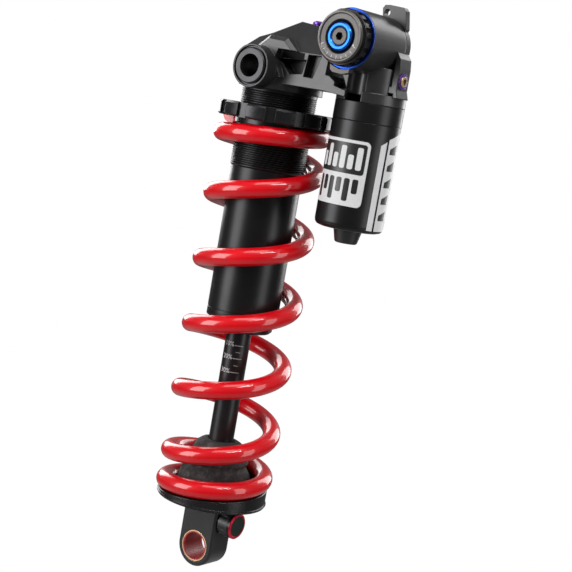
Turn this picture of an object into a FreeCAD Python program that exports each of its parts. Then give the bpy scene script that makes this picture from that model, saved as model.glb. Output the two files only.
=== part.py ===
import FreeCAD, Part
import math
import os
import re
import Sketcher
from FreeCAD import Placement, Rotation, Vector

# Rear shock with a coil spring and a piggyback reservoir.
# Origin at the centre of the lower eye, +Z along the shaft to the upper eye, eye axes along Y,
# +X towards the reservoir. Millimetres.

doc = FreeCAD.newDocument("RearShock")
sheet = doc.addObject("Spreadsheet::Sheet", "Sizes")

sizes = {
    # eye to eye and the eyes
    "eye_to_eye": 230,
    "lower_eye_width": 14, "lower_eye_radius": 10, "lower_eye_top": 21.8, "foot_radius": 11.5, "lower_bush_outer": 7.5, "lower_bush_bore": 6.35,
    "upper_eye_radius": 9.7, "upper_eye_front": 26.2, "upper_eye_rear": 22, "upper_sleeve_proud": 0.6,
    "upper_sleeve_outer": 8.1, "upper_sleeve_bore": 5.15, "upper_bush_outer": 8.9,
    # shaft and piston
    "shaft_radius": 6, "shaft_bore": 2.6, "shaft_foot": 21, "shaft_shoulder": 126, "stem_radius": 4.5, "stem_top": 142,
    "piston_radius": 14.2, "piston_bottom": 128.1, "piston_height": 9, "shim_stack": 2.1,
    # spring plate, bump stop, spring
    "plate_radius": 26.6, "plate_bottom": 23.5, "plate_disc_top": 26, "plate_bore": 8.2,
    "bump_radius": 17.8, "bump_waist": 12.6, "bump_top": 53,
    "coil_radius": 23.6, "wire_radius": 4.25, "coil_start_z": 28.75, "coil_start_angle": -200,
    "foot_pitch": 14.45, "open_pitch": 31.54, "end_pitch": 9.25, "coil_lean": 0.9, "lean_towards": -57,
    "foot_starts": 80, "foot_ends": 400, "coil_opens": 460, "coil_closes": 2112, "coil_closed": 2222,
    # damper body
    "head_ring_radius": 15.2, "seal_head_bottom": 107.5, "tube_bottom": 112.7,
    "tube_radius": 17, "tube_bore": 14.6, "thread_start": 184, "thread_end": 221.2,
    "thread_crest": 17.7, "thread_root": 17.2, "thread_pitch": 1, "seal_head_top": 124,
    # preload collar
    "collar_bottom": 206.3, "collar_top": 213.1, "collar_radius": 27.3, "collar_notch_radius": 25.9,
    "collar_lobes": 12, "collar_notch_width": 4.9, "ring_bottom": 203.7, "ring_radius": 18.7,
    # head
    "neck_radius": 19.7, "bleed_x": 15.5, "head_bottom": 224.3, "bridge_half": 16,
    # reservoir
    "res_x": 49.9, "res_radius": 15.65, "res_bore": 13.9, "res_bottom": 165.5, "res_seam": 222.2,
    "res_socket_top": 226.8, "res_groove_z": 213.7,
    # valve barrel across the reservoir
    "valve_z": 247.7, "valve_radius": 13.2, "valve_front": 26, "lever_rear": 3.8, "lever_pin": 3,
    "dial_front": 33.9, "dial_back": 26.9, "dial_radius": 11.3, "dial_grip_radius": 12.3,
    "blue_radius": 6.1, "disc_radius": 3.9, "hex_flats": 3.2,
    # rebound knob, axis along X
    "knob_z": 14.4, "knob_radius": 6.37, "knob_start": 10.4, "knob_end": 18.3,
}
for row, (alias, value) in enumerate(sizes.items(), 1):
    sheet.set("A%d" % row, alias)
    sheet.set("B%d" % row, str(value))
    sheet.setAlias("B%d" % row, alias)
doc.recompute()


def bound(text):
    """Turn the words that are sheet aliases into references to the sheet."""
    return re.sub(r"[a-z]\w*", lambda m: "Sizes." + m.group() if m.group() in sizes else m.group(), str(text))


def size(alias):
    return float(sheet.get(alias))


# Turns that take a body's own +Z to the axis it is named for.
turns = {
    "+Z": Rotation(), "+Y": Rotation(Vector(1, 0, 0), -90), "-Y": Rotation(Vector(1, 0, 0), 90),
    "+X": Rotation(Vector(0, 1, 0), 90),
}
valve_axis = ("res_x", 0, "valve_z")
reservoir_axis = ("res_x", 0, 0)
nodes = []


def new_body(label, axis="+Z", at=(0, 0, 0)):
    body = doc.addObject("PartDesign::Body", label)
    body.Placement = Placement(Vector(), turns[axis])
    for coordinate, text in zip("xyz", at):
        body.setExpression(".Placement.Base." + coordinate, bound(text))
    nodes.append(body)
    return body


def outline(body, plane, points, offset=0):
    """A closed sketch through points whose coordinates are words of the sheet."""
    sketch = body.newObject("Sketcher::SketchObject", body.Label + "_sketch")
    origin_planes = {feature.Role: feature for feature in body.Origin.OriginFeatures}
    sketch.AttachmentSupport = (origin_planes[plane], "")
    sketch.MapMode = "FlatFace"
    sketch.AttachmentOffset = Placement(Vector(0, 0, offset), Rotation())
    count = len(points)
    start = [Vector(30 + 10 * math.cos(math.tau * i / count), 10 * math.sin(math.tau * i / count), 0)
             for i in range(count)]
    for i in range(count):
        sketch.addGeometry(Part.LineSegment(start[i], start[(i + 1) % count]))
    sketch.addConstraint([Sketcher.Constraint("Coincident", i, 2, (i + 1) % count, 1) for i in range(count)])
    places = []
    for i in range(count):
        places.append(Sketcher.Constraint("DistanceX", -1, 1, i, 1, start[i].x))
        places.append(Sketcher.Constraint("DistanceY", -1, 1, i, 1, start[i].y))
    sketch.addConstraint(places)
    for i, (across, up) in enumerate(points):
        sketch.setExpression("Constraints[%d]" % (count + 2 * i), bound(across))
        sketch.setExpression("Constraints[%d]" % (count + 2 * i + 1), bound(up))
    return sketch


def turn(body, points):
    """Revolve an outline of (radius, height) points about the body's own Z."""
    sketch = outline(body, "XZ_Plane", points)
    feature = body.newObject("PartDesign::Revolution", body.Label + "_turned")
    feature.Profile = sketch
    feature.ReferenceAxis = (sketch, ["V_Axis"])
    feature.Angle = 360
    return feature


def turned(label, points, axis="+Z", at=(0, 0, 0)):
    body = new_body(label, axis, at)
    turn(body, points)
    return body


def tube(label, outer, inner, bottom, top, axis="+Z", at=(0, 0, 0)):
    return turned(label, [(inner, bottom), (outer, bottom), (outer, top), (inner, top)], axis, at)


def disc(label, radius, bottom, top, axis="+Z", at=(0, 0, 0)):
    return turned(label, [(0, bottom), (radius, bottom), (radius, top), (0, top)], axis, at)


def slab(body, points, thickness):
    """Pad an XZ outline equally to both sides of the middle plane."""
    pad = body.newObject("PartDesign::Pad", body.Label + "_slab")
    pad.Profile = outline(body, "XZ_Plane", points)
    pad.Midplane = True
    pad.setExpression("Length", bound(thickness))
    return pad


def primitive(body, kind, dims, at, axis="+Z", extra=None):
    """Add or cut a PartDesign primitive, such as AdditiveCylinder or SubtractiveBox."""
    feature = body.newObject("PartDesign::" + kind, body.Label + "_" + kind)
    for name, text in dims.items():
        feature.setExpression(name, bound(text))
    rotation = turns[axis] if extra is None else extra
    feature.Placement = Placement(Vector(), rotation)
    for coordinate, text in zip("xyz", at):
        feature.setExpression(".Placement.Base." + coordinate, bound(text))
    return feature


def cylinder(body, kind, radius, length, at, axis="+Z"):
    return primitive(body, kind + "Cylinder", {"Radius": radius, "Height": length}, at, axis)


def around(body, feature, count):
    """Repeat a feature about the body's own Z."""
    pattern = body.newObject("PartDesign::PolarPattern", body.Label + "_pattern")
    pattern.Originals = [feature]
    pattern.Axis = ([f for f in body.Origin.OriginFeatures if f.Role == "Z_Axis"][0], [""])
    pattern.Angle = 360
    pattern.Occurrences = count
    body.Tip = pattern
    return pattern


def bevel(body, amount, wanted):
    """Chamfer the edges of the tip that the wanted test picks."""
    doc.recompute()
    base = body.Tip
    names = ["Edge%d" % i for i, edge in enumerate(base.Shape.Edges, 1) if wanted(edge)]
    chamfer = body.newObject("PartDesign::Chamfer", body.Label + "_bevel")
    chamfer.Base = (base, names)
    chamfer.Size = amount
    return chamfer


def straight(edge):
    return isinstance(edge.Curve, Part.Line)


# Lower eye, its bush and the rebound knob -------------------------------------------------------

def lower_eye():
    body = new_body("lower_eye")
    slab(body, [("-lower_eye_radius", 0), ("lower_eye_radius", 0), ("lower_eye_radius", "lower_eye_top"),
                ("-lower_eye_radius", "lower_eye_top")], "lower_eye_width")
    cylinder(body, "Additive", "lower_eye_radius", "lower_eye_width", (0, "lower_eye_width / 2", 0), "-Y")
    bevel(body, 0.9, lambda edge: all(abs(abs(v.Point.y) - size("lower_eye_width") / 2) < 0.01
                                      for v in edge.Vertexes) and edge.BoundBox.ZMax < size("lower_eye_top") + 0.1
          and not (straight(edge) and abs(edge.BoundBox.ZMin - edge.BoundBox.ZMax) < 0.1))
    cylinder(body, "Additive", "foot_radius", "plate_bottom - 0.3 - 21.2", (0, 0, 21.2))
    cylinder(body, "Additive", "plate_bore - 0.1", 4, (0, 0, "plate_bottom - 0.4"))
    cylinder(body, "Subtractive", "lower_bush_outer", "lower_eye_width + 2",
             (0, "lower_eye_width / 2 + 1", 0), "-Y")
    cylinder(body, "Subtractive", "shaft_radius", 20, (0, 0, "shaft_foot"))
    cylinder(body, "Subtractive", 2.1, 14, (0, 0, "lower_bush_outer + 1.4"))
    cylinder(body, "Subtractive", 3.2, 13.5, (-2.6, 0, "knob_z"), "+X")
    cylinder(body, "Subtractive", 0.85, 3, (8.6, -4.4, "knob_z"), "+X")


def lower_eye_parts():
    turned("lower_eye_bush", [("lower_bush_outer - 0.55", -7), ("lower_bush_outer", -7),
                              ("lower_bush_outer", 7), ("lower_bush_outer - 0.55", 7)], "+Y")
    tube("lower_eye_liner", "lower_bush_outer - 0.55", "lower_bush_bore", -7, 7, "+Y")


def rebound_knob():
    at = (0, 0, "knob_z")
    body = new_body("rebound_knob", "+X", at)
    turn(body, [(0, -2), (3.1, -2), (3.1, "knob_start"), ("knob_radius - 0.6", "knob_start"),
                ("knob_radius", "knob_start + 0.6"), ("knob_radius", "knob_end - 1.9"), (0, "knob_end - 1.9")])
    flute = primitive(body, "SubtractiveBox", {"Length": 2, "Width": 1.5, "Height": 5.2},
                      ("knob_radius - 0.55", -0.75, "knob_start - 0.5"))
    around(body, flute, 14)
    cylinder(body, "Subtractive", 0.8, 2, (4.4, 0, "knob_start - 0.6"))
    cylinder(body, "Subtractive", 1.2, 4.6, (0, 0, -2.5))
    turned("rebound_knob_ring", [("5.1", "knob_end - 1.9"), ("knob_radius", "knob_end - 1.9"),
                                 ("knob_radius", "knob_end - 0.5"), ("knob_radius - 0.5", "knob_end"),
                                 ("5.1", "knob_end")], "+X", at)
    disc("rebound_knob_disc", "5.05", "knob_end - 1.9", "knob_end - 0.15", "+X", at)


def detent_ball():
    ball = doc.addObject("Part::Sphere", "detent_ball")
    ball.setExpression("Radius", bound("0.75"))
    ball.Placement = Placement(Vector(9.55, -4.4, size("knob_z")), Rotation())
    nodes.append(ball)


# Shaft, piston, spring plate, bump stop, spring --------------------------------------------------

def shaft():
    turned("damper_shaft", [("shaft_bore", "shaft_foot"), ("shaft_radius", "shaft_foot"),
                            ("shaft_radius", "shaft_shoulder"), ("stem_radius", "shaft_shoulder"),
                            ("stem_radius", "stem_top"), ("shaft_bore", "stem_top")])
    turned("rebound_rod", [(0, "knob_z + 3.4"), (1.9, "knob_z + 3.4"), (1.9, "stem_top - 6"),
                           (0.6, "stem_top - 1"), (0, "stem_top - 1")])
    tube("top_out_bumper", 9.5, "shaft_radius + 0.05", "seal_head_top + 0.2", "shaft_shoulder")


def piston():
    body = new_body("main_piston")
    land = "piston_radius - 0.5"
    turn(body, [("stem_radius", "piston_bottom"), ("piston_radius", "piston_bottom"),
                ("piston_radius", "piston_bottom + 2"), (land, "piston_bottom + 2"),
                (land, "piston_bottom + 7"), ("piston_radius", "piston_bottom + 7"),
                ("piston_radius", "piston_bottom + piston_height"),
                ("stem_radius", "piston_bottom + piston_height")])
    port = cylinder(body, "Subtractive", 1.5, 20, (9.2, 0, "piston_bottom - 3"))
    around(body, port, 6)
    tube("piston_band", "tube_bore - 0.04", land, "piston_bottom + 2", "piston_bottom + 7")
    turned("piston_nut", [("stem_radius", "piston_bottom + piston_height + shim_stack"),
                          (7.5, "piston_bottom + piston_height + shim_stack"),
                          (7.5, "stem_top + 1"), (6.5, "stem_top + 2"), ("shaft_bore", "stem_top + 2"),
                          ("shaft_bore", "stem_top"), ("stem_radius", "stem_top")])


def shim_stack(label, bottom, radii, hole, axis_rotation=Rotation(), origin=Vector()):
    """A stack of thin spring-steel discs, each its own solid."""
    thickness = size("shim_stack") / len(radii)
    shims = []
    for i, radius in enumerate(radii):
        plate = Part.makeCylinder(radius, thickness, Vector(0, 0, bottom + i * thickness))
        shims.append(plate.cut(Part.makeCylinder(hole, size("shim_stack") * 2, Vector(0, 0, bottom - 1))))
    stack = doc.addObject("Part::Feature", label)
    stack.Shape = Part.makeCompound(shims)
    stack.Placement = Placement(origin, axis_rotation)
    nodes.append(stack)


def lean_share(turned):
    """How far the lean has come in, from 0 to 1: it fades out at both ends of the spring."""
    fade_in, fade_out = 200, 250
    into = (turned - size("foot_ends") + 70) / fade_in
    out_of = (size("coil_closed") + 28 - turned) / fade_out
    return min(1, max(0, into)) * min(1, max(0, out_of))


def ramp_height(angle):
    """Height of the spring's centre line: the pitch added up over the turns, less a slight lean."""
    foot, free, end = size("foot_pitch") / 360, size("open_pitch") / 360, size("end_pitch") / 360
    start, level = size("coil_start_angle"), 0.01
    knots = [(start, level), (start + size("foot_starts"), foot), (start + size("foot_ends"), foot),
             (start + size("coil_opens"), free), (start + size("coil_closes"), free),
             (start + size("coil_closed"), end), (start + size("coil_closed") + 480, end)]
    height = size("coil_start_z")
    for (a0, slope0), (a1, slope1) in zip(knots, knots[1:]):
        if angle <= a0:
            break
        reached = min(angle, a1)
        slope = slope0 + (slope1 - slope0) * (reached - a0) / (a1 - a0)
        height += (slope0 + slope) / 2 * (reached - a0)
    lean = size("coil_lean") * math.cos(math.radians(angle - size("lean_towards")))
    return height - lean * lean_share(angle - start)


def coil_spring():
    """Round wire on a helix whose pitch opens after the first turn and closes at the last."""
    radius, wire = size("coil_radius"), size("wire_radius")
    start, step = size("coil_start_angle"), 30
    points = []
    angle = start
    while ramp_height(angle) < size("collar_bottom") + 0.6:
        spot = math.radians(angle)
        points.append(Vector(radius * math.cos(spot), radius * math.sin(spot), ramp_height(angle)))
        angle += step
    path = Part.BSplineCurve()
    path.interpolate(points)
    section = Part.Wire([Part.makeCircle(wire, points[0], path.tangent(path.FirstParameter)[0])])
    coil = Part.Wire([path.toShape()]).makePipeShell([section], True, True)
    slab_height = 20
    above = Part.makeBox(80, 80, slab_height, Vector(-40, -40, size("collar_bottom") - 0.1))
    spring = doc.addObject("Part::Feature", "coil_spring")
    spring.Shape = coil.cut(above)
    nodes.append(spring)


def lower_spring_plate():
    """A dished disc whose top is a helical ramp that follows the first turn of the spring."""
    body = new_body("plate_disc")
    turn(body, [("plate_bore", "plate_bottom + 0.4"), (14, "plate_bottom"), ("plate_radius - 1.6", "plate_bottom"),
                ("plate_radius", "plate_bottom + 0.9"), ("plate_radius", "plate_disc_top - 1.2"),
                ("plate_radius - 0.5", "plate_disc_top - 1"), ("coil_radius + 1.4", "plate_disc_top - 1.9"),
                ("coil_radius - 1.4", "plate_disc_top - 1.9"), (19.8, "plate_disc_top - 0.4"),
                (19, "plate_disc_top + 0.8"), ("plate_bore", "plate_disc_top + 0.8")])
    step, turn_end = 10, 332
    start = size("coil_start_angle")
    seat = size("wire_radius") + 0.3
    outer, inner = size("plate_radius") - 0.5, 19.2
    rings = []
    for rim in (inner, outer):
        edge = []
        for angle in range(0, turn_end, step):
            spot = math.radians(start + angle)
            height = ramp_height(start + angle) - seat
            edge.append(Vector(rim * math.cos(spot), rim * math.sin(spot), height))
        rings.append(edge)
    base = size("plate_bottom") + 0.1
    solids = []
    for i in range(len(rings[0]) - 1):
        corners = [rings[0][i], rings[1][i], rings[1][i + 1], rings[0][i + 1]]
        feet = [Vector(p.x, p.y, base) for p in corners]
        faces = [Part.makePolygon(feet + feet[:1]),
                 Part.makePolygon([corners[0], corners[1], corners[2], corners[0]]),
                 Part.makePolygon([corners[0], corners[2], corners[3], corners[0]])]
        for j in range(4):
            k = (j + 1) % 4
            faces.append(Part.makePolygon([feet[j], feet[k], corners[k], corners[j], feet[j]]))
        shell = Part.makeShell([Part.Face(wire) for wire in faces])
        solids.append(Part.makeSolid(shell))
    ramp = solids[0].multiFuse(solids[1:]).removeSplitter()
    doc.recompute()
    nodes.remove(body)
    plate = doc.addObject("Part::Feature", "lower_spring_plate")
    plate.Shape = body.Shape.fuse(ramp)
    nodes.append(plate)


def bump_stop():
    """Foam stop: domed nose, a ring and a groove, flared foot."""
    foot = "plate_disc_top + 1.2"
    turned("bump_stop", [("shaft_radius + 0.2", foot), ("bump_radius", foot), ("bump_radius", 33),
                         ("bump_radius - 0.8", 36.5), (15.0, 39.8), (13.9, 40.6), (13.9, 41.6),
                         (14.9, 42.8), (14.9, 44.8), (13.3, 46.2), ("bump_waist", 48.2), (11.4, 50.8),
                         (9.2, 52.4), (7.4, "bump_top"), ("shaft_radius + 0.2", "bump_top")])
    tube("plate_circlip", "plate_bore + 1.6", "plate_bore - 0.1", "plate_disc_top + 0.85",
         "plate_disc_top + 1.15")


# Damper body ------------------------------------------------------------------------------------

def body_tube():
    """Smooth tube, then a long thread cut as rings of V grooves, up to the head."""
    body = new_body("body_tube")
    turn(body, [("tube_bore", "tube_bottom"), ("tube_radius", "tube_bottom"),
                ("tube_radius", "tube_bottom + 3.6"), ("tube_radius - 0.25", "tube_bottom + 3.7"),
                ("tube_radius - 0.25", "tube_bottom + 4.1"), ("tube_radius", "tube_bottom + 4.2"),
                ("tube_radius", "thread_start"), ("thread_crest", "thread_start + 0.7"),
                ("thread_crest", "thread_end"), ("tube_bore", "thread_end")])
    groove = body.newObject("PartDesign::Groove", "thread_groove")
    groove.Profile = outline(body, "XZ_Plane", [("thread_crest + 0.1", "thread_start + 1"),
                                                ("thread_crest + 0.1", "thread_start + 1.9"),
                                                ("thread_root", "thread_start + 1.45")])
    groove.ReferenceAxis = (groove.Profile[0], ["V_Axis"])
    groove.Angle = 360
    rings = body.newObject("PartDesign::LinearPattern", "thread_rings")
    rings.Originals = [groove]
    rings.Direction = ([f for f in body.Origin.OriginFeatures if f.Role == "Z_Axis"][0], [""])
    count = int((size("thread_end") - size("thread_start") - 2) / size("thread_pitch"))
    rings.setExpression("Length", bound("thread_pitch * %d" % (count - 1)))
    rings.Occurrences = count
    body.Tip = rings
    cylinder(body, "Subtractive", "upper_eye_radius + 0.05", 40, (0, 20, "eye_to_eye"), "-Y")


def seal_head():
    fit = "shaft_radius + 0.05"
    turned("seal_head", [("shaft_radius + 1.9", "seal_head_bottom"), ("head_ring_radius - 1", "seal_head_bottom"),
                         ("head_ring_radius", "seal_head_bottom + 1"), ("head_ring_radius", "tube_bottom"),
                         ("tube_bore", "tube_bottom"), ("tube_bore", "tube_bottom + 3"),
                         ("tube_bore - 1.3", "tube_bottom + 3"), ("tube_bore - 1.3", "tube_bottom + 5"),
                         ("tube_bore", "tube_bottom + 5"), ("tube_bore", "seal_head_top"),
                         ("shaft_radius + 0.6", "seal_head_top"), ("shaft_radius + 0.6", "seal_head_bottom + 6"),
                         ("shaft_radius + 1.9", "seal_head_bottom + 6")])
    tube("shaft_wiper", "shaft_radius + 1.9", fit, "seal_head_bottom + 0.2", "seal_head_bottom + 2.8")
    tube("shaft_seal", "shaft_radius + 1.9", fit, "seal_head_bottom + 3", "seal_head_bottom + 5.9")
    tube("shaft_bush", "shaft_radius + 0.6", fit, "seal_head_bottom + 6.3", "seal_head_top - 0.3")
    tube("seal_head_o_ring", "tube_bore - 0.02", "tube_bore - 1.3", "tube_bottom + 3.1", "tube_bottom + 4.9")


def preload_collar():
    """Threaded ring with twelve lobes for a fork spanner, and the ring that centres the spring."""
    body = new_body("preload_collar")
    bore = "thread_crest + 0.08"
    turn(body, [(bore, "collar_bottom"), ("collar_radius - 0.9", "collar_bottom"),
                ("collar_radius", "collar_bottom + 0.9"), ("collar_radius", "collar_top - 0.9"),
                ("collar_radius - 0.9", "collar_top"), (20.4, "collar_top"),
                (19.6, "collar_top - 0.6"), (bore, "collar_top - 0.6")])
    notch = primitive(body, "SubtractiveBox", {"Length": 4, "Width": "collar_notch_width", "Height": 12},
                      ("collar_notch_radius", "-collar_notch_width / 2", "collar_bottom - 3"))
    around(body, notch, int(size("collar_lobes")))
    cylinder(body, "Subtractive", 1.3, 12, (17, 0, "collar_bottom + 3.4"), "+X")
    screw = new_body("collar_lock_screw", "+X", (0, 0, "collar_bottom + 3.4"))
    turn(screw, [(0, 18.4), (1.28, 18.4), (1.28, 24.6), (0.7, 24.6), (0.7, 23.2), (0, 23.2)])
    ring_bore = "thread_crest + 0.3"
    turned("spring_centring_ring", [(ring_bore, "ring_bottom"), ("ring_radius - 0.4", "ring_bottom"),
                                    ("ring_radius", "ring_bottom + 0.4"), ("ring_radius", "collar_bottom - 0.02"),
                                    (ring_bore, "collar_bottom - 0.02")])


# Damper head ------------------------------------------------------------------------------------

def leaning_cut(body, side, x_low, x_high, z_low, tilt):
    """Cut a plane that leans back from a front or rear face, from z_low up."""
    rotation = Rotation(Vector(1, 0, 0), side * tilt)
    depth = 30
    corner = rotation.multVec(Vector(0, -depth if side < 0 else 0, 0))
    feature = body.newObject("PartDesign::SubtractiveBox", "lean")
    feature.Length, feature.Width, feature.Height = x_high - x_low, depth, 40
    feature.Placement = Placement(Vector(x_low, side * size("bridge_half"), z_low) + corner, rotation)


def damper_head():
    """Casting that joins the eye, the body tube, the reservoir and the valve barrel."""
    body = new_body("damper_head")
    slab(body, [(-12, "head_bottom"), (-13, 232), (-11.6, 239.4), (-6.5, 243.9), (-0.3, 246.4), (12.7, 253.3),
                (21, 252.5), (35, 249.5), (34.2, 231.3), (36.4, 231.1), (39.6, 229), (39.6, 227.3),
                (49.3, "res_socket_top - 1.6"), (49.3, "res_seam + 0.8"), (34, "head_bottom")],
         "2 * bridge_half")
    for side in (-1, 1):
        leaning_cut(body, side, -20, 48, 239.4, 24)
    cylinder(body, "Additive", "neck_radius", 7.4, (0, 0, "thread_end"))
    gusset(body)
    cylinder(body, "Additive", "upper_eye_radius", "upper_eye_front + upper_eye_rear",
             (0, "upper_eye_rear", "eye_to_eye"), "-Y")
    slab(body, [(28, 252), (52, 256), (52, 236), (30, 236)], 20)
    cylinder(body, "Additive", "valve_radius", "valve_front", valve_axis, "-Y")
    cylinder(body, "Additive", "res_radius", "res_socket_top - res_seam", ("res_x", 0, "res_seam"))
    cylinder(body, "Additive", 13.2, 12, ("res_x", 0, "res_socket_top - 0.5"))
    strut(body)
    side_web(body)
    windows(body)
    cylinder(body, "Subtractive", "valve_radius + 0.4", 20, ("res_x", 20.1, "valve_z"), "-Y")
    cylinder(body, "Subtractive", "upper_bush_outer", "upper_eye_front + upper_eye_rear + 2",
             (0, "upper_eye_rear + 1", "eye_to_eye"), "-Y")
    cylinder(body, "Subtractive", 10.5, 24.5, ("res_x", -2, "valve_z"), "-Y")
    cylinder(body, "Subtractive", "lever_pin", 2.2, ("res_x", 0.2, "valve_z"), "-Y")
    cylinder(body, "Subtractive", "res_bore", 4, ("res_x", 0, "res_seam - 1"))
    cylinder(body, "Subtractive", "tube_bore", 3, (0, 0, "thread_end - 1"))
    cylinder(body, "Subtractive", 4.2, 14, ("res_x", -14, "res_socket_top - 6"))
    cylinder(body, "Subtractive", 2.55, 9, ("bleed_x", 0, 245.5))


def gusset(body):
    """The raised block that carries the eye's boss, with its upper edges broken."""
    slab(body, [(-8.4, 225), (-10.4, 234), (-3, 240.6), (2.5, 245.2), (12.4, 244.8), (18.6, 239.4), (9, 239.2),
                (7.6, 235.5), (12.4, 227)], "2 * bridge_half + 7")
    face = size("bridge_half") + 3.5
    bevel(body, 1.7, lambda edge: straight(edge) and abs(abs(edge.CenterOfMass.y) - face) < 0.01
          and edge.CenterOfMass.z > 239.8)


def strut(body):
    """The leaning block that carries the barrel's front on the reservoir socket."""
    sketch = outline(body, "XZ_Plane", [(41.2, 237), (42.6, 232.6), (46.5, "res_socket_top - 1"),
                                        (53.4, "res_socket_top - 1"), (53.9, 228.7), (48.4, 237)], 15)
    pad = body.newObject("PartDesign::Pad", "strut")
    pad.Profile = sketch
    pad.Length = 17
    pad.Reversed = True


def side_web(body):
    """A flat web under the barrel that holds the side bracket on the reservoir's far side."""
    sketch = outline(body, "XZ_Plane", [(50, 247), (60, 247), (62.8, 242.6), (62.8, 231.1), (61.2, 231.1),
                                        (61.2, "res_socket_top - 0.5"), (50, "res_socket_top - 0.5")], 3)
    pad = body.newObject("PartDesign::Pad", "web")
    pad.Profile = sketch
    pad.Length = 6.4
    pad.Reversed = True


def windows(body):
    """Two pockets in each flank: one with a leaning ceiling beside the eye, one by the arm."""
    mouth = [(7.7, 235.5), (14.6, 229.1), (21.5, 230), (22.8, 236.4)]
    recess = [(23.6, 238.8), (22.6, 229), (27.6, 228.9), (30.6, 239)]
    for points, depth in ((mouth, 10), (recess, 4)):
        for side in (-1, 1):
            face = size("bridge_half") + (3.6 if points is mouth else 0)
            pocket = body.newObject("PartDesign::Pocket", "window")
            pocket.Profile = outline(body, "XZ_Plane", points, -side * face)
            pocket.Length = depth
            pocket.Reversed = side > 0
    for side in (-1, 1):
        face, deep = side * (size("bridge_half") + 3.6), side * (size("bridge_half") - 2.6)
        ceiling = body.newObject("PartDesign::Pocket", "window_ceiling")
        ceiling.Profile = outline(body, "YZ_Plane", [(face, 235.9), (face, 239.5), (side * size("bridge_half"), 239.3),
                                                     (deep, 235.9)], 21.4)
        ceiling.Length = 12.4


def head_fittings():
    at = (0, 0, "eye_to_eye")
    front, rear = "-upper_eye_front - upper_sleeve_proud", "upper_eye_rear + upper_sleeve_proud"
    tube("upper_eye_bush", "upper_bush_outer", "upper_sleeve_outer + 0.02", "-upper_eye_front + 0.9",
         "upper_eye_rear - 0.9", "+Y", at)
    turned("upper_eye_sleeve", [("upper_sleeve_bore", front), ("upper_sleeve_outer - 0.5", front),
                                ("upper_sleeve_outer", front + " + 0.5"), ("upper_sleeve_outer", rear + " - 0.5"),
                                ("upper_sleeve_outer - 0.5", rear), ("upper_sleeve_bore", rear)], "+Y", at)
    bolt = new_body("bleed_screw", "+Z", ("bleed_x", 0, 0))
    turn(bolt, [(0, 246), (2.5, 246), (2.5, 253.4), (3.3, 253.4), (3.3, 254.4), (2.6, 255), (0, 255)])
    hexagon(bolt, 1.25, 253.4, 3)


def hexagon(body, half_flats, bottom, length):
    corner = half_flats / math.cos(math.pi / 6)
    feature = body.newObject("PartDesign::SubtractivePrism", "hex_socket")
    feature.Polygon = 6
    feature.Circumradius = corner
    feature.Height = length
    feature.Placement = Placement(Vector(0, 0, bottom), Rotation())


# Valve barrel fittings --------------------------------------------------------------------------

def front_dial():
    """Grip ring with notches and a dished face, the blue ring and the inner disc with its socket."""
    body = new_body("low_speed_dial", "-Y", valve_axis)
    turn(body, [("blue_radius + 0.1", "dial_back + 0.5"), ("dial_grip_radius - 0.4", "dial_back + 0.5"),
                ("dial_grip_radius", "dial_back + 0.9"), ("dial_grip_radius", "dial_front - 2.9"),
                ("dial_grip_radius - 0.5", "dial_front - 2.4"), ("dial_radius", "dial_front - 2.4"),
                ("dial_radius", "dial_front - 0.6"), ("dial_radius - 0.6", "dial_front"),
                ("dial_radius - 1.3", "dial_front"), ("dial_radius - 1.7", "dial_front - 0.5"),
                ("blue_radius + 1.4", "dial_front - 0.7"), ("blue_radius + 0.1", "dial_front - 1.8")])
    notch = primitive(body, "SubtractiveBox", {"Length": 2, "Width": 2.1, "Height": 3.4},
                      ("dial_grip_radius - 0.75", -1.05, "dial_front - 6.1"))
    around(body, notch, 18)
    turned("high_speed_ring", [("disc_radius + 0.05", "dial_back + 0.5"), ("blue_radius", "dial_back + 0.5"),
                               ("blue_radius", "dial_front - 0.5"), ("blue_radius - 0.6", "dial_front + 0.2"),
                               ("disc_radius + 0.6", "dial_front + 0.2"), ("disc_radius + 0.05", "dial_front - 0.4")],
           "-Y", valve_axis)
    inner = new_body("high_speed_disc", "-Y", valve_axis)
    turn(inner, [(0, 22.5), (2.9, 22.5), (2.9, "dial_back + 0.5"), ("disc_radius", "dial_back + 0.5"),
                 ("disc_radius", "dial_front - 0.5"), ("disc_radius - 0.4", "dial_front - 0.1"),
                 (0, "dial_front - 0.1")])
    hexagon(inner, size("hex_flats") / 2, size("dial_front") - 3, 5)
    turned("barrel_blue_ring", [(5.2, "valve_front"), ("valve_radius - 0.2", "valve_front"),
                                ("valve_radius", "valve_front + 0.2"), ("valve_radius", "valve_front + 0.6"),
                                ("valve_radius - 0.2", "valve_front + 0.8"), (5.2, "valve_front + 0.8")],
           "-Y", valve_axis)


def barrel_inside():
    bore = "10.46"
    turned("base_valve_piston", [(3.1, 8), (bore, 8), (bore, 10), (9.6, 10), (9.6, 13), (bore, 13), (bore, 15),
                                 (3.1, 15)], "-Y", valve_axis)
    disc("low_speed_needle", 3.0, 6, 22.3, "-Y", valve_axis)
    tube("base_valve_seat", bore, 3.1, 17.6, 20.5, "-Y", valve_axis)
    shim_stack("base_valve_shims", 15.2, [8.5, 8.0, 7.2, 6.4, 5.6], 3.1, turns["-Y"],
               Vector(size("res_x"), 0, size("valve_z")))


def index_plate():
    """A tab under the dial with a half-round index notch."""
    body = new_body("index_plate")
    sketch = outline(body, "XZ_Plane", [(43.4, 237.2), (43.8, 233.8), (45.2, 232.7), (50, 232.3), (53.6, 233.2),
                                        (53.9, 236.6)], 27.6)
    pad = body.newObject("PartDesign::Pad", "index_tab")
    pad.Profile = sketch
    pad.Length = 3.4
    pad.Reversed = True
    cylinder(body, "Subtractive", 1.6, 6, (48.6, -23, 235.9), "-Y")
    cylinder(body, "Subtractive", "valve_radius + 0.05", 8, ("res_x", -22, "valve_z"), "-Y")


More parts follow.
